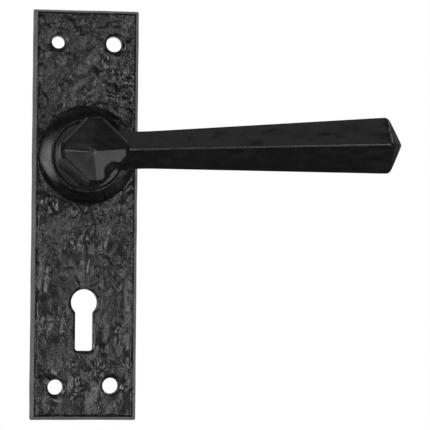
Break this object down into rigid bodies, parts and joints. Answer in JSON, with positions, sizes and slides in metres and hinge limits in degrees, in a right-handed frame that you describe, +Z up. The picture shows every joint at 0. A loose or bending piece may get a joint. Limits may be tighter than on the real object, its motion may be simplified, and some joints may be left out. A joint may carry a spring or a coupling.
{
  "type": "door lever handle",
  "caption": "Sprung door lever handle on a long textured back plate with a keyhole; faceted tapering lever on a square neck over a round boss, with a square spindle.",
  "frame": {"origin": "the spindle's axis where it meets the door face", "axes": "+X to the right along the lever, +Y into the door, away from the person using the handle, +Z up"},
  "size_m": [0.1392, 0.128, 0.162],
  "materials": {
    "black_coated_iron": "semi-gloss black powder coat over a hammered iron casting",
    "bush_plastic": "moulded black acetal",
    "spring_steel": "oiled drawn spring wire and sheet",
    "zinc_steel": "bright zinc plated steel"
  },
  "bodies": {
    "plate": {"backplate": "black_coated_iron", "neck_bush": "bush_plastic", "return_spring": "spring_steel", "stop_pins": "zinc_steel"},
    "handle": {"lever": "black_coated_iron", "cam_plate": "zinc_steel", "wave_washer": "spring_steel", "circlip": "spring_steel", "spindle": "zinc_steel", "grub_screw": "spring_steel"}
  },
  "joints": [
    {"name": "lever_turn", "type": "hinge", "parent": "plate", "child": "handle", "pos_m": [0, -0.0128, 0], "axis": [0, 1, 0], "range_deg": [0, 45], "stiffness_Nm_per_rad": 0.36, "springref_deg": -40.11, "deforming": ["return_spring"]}
  ]
}
